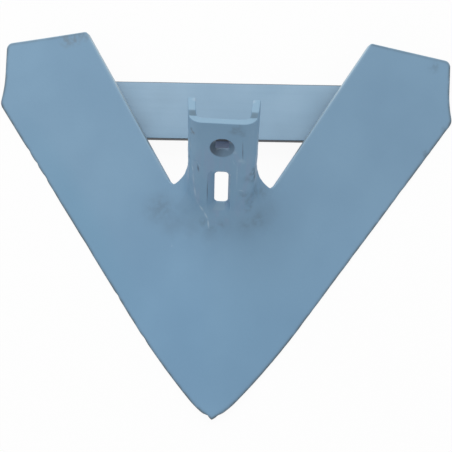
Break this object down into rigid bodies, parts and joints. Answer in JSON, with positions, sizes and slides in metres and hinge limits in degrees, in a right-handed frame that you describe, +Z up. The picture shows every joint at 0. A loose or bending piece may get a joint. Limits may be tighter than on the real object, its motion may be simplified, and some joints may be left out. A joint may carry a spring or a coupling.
{
  "type": "sowing share",
  "caption": "Wide V-shaped sowing share: a forged steel blade whose neck is a channel for the tine, with bolt seats and a welded cross strip.",
  "frame": {"origin": "on the ground under the middle of the share's bounding box", "axes": "tip towards -Y, wings to -X and +X, +Z up, standing on its cutting edges"},
  "size_m": [0.3866, 0.3156, 0.1211],
  "materials": {
    "blade_paint": "thin satin grey-blue primer over forged steel, with stains and a little rust",
    "strip_paint": "satin grey-blue primer over flat bar",
    "weld_paint": "satin grey-blue primer over a rippled weld"
  },
  "bodies": {
    "root": {"blade": "blade_paint", "cross_strip": "strip_paint", "weld_front_left": "weld_paint", "weld_front_right": "weld_paint", "weld_rear_left": "weld_paint", "weld_rear_right": "weld_paint"}
  },
  "joints": []
}
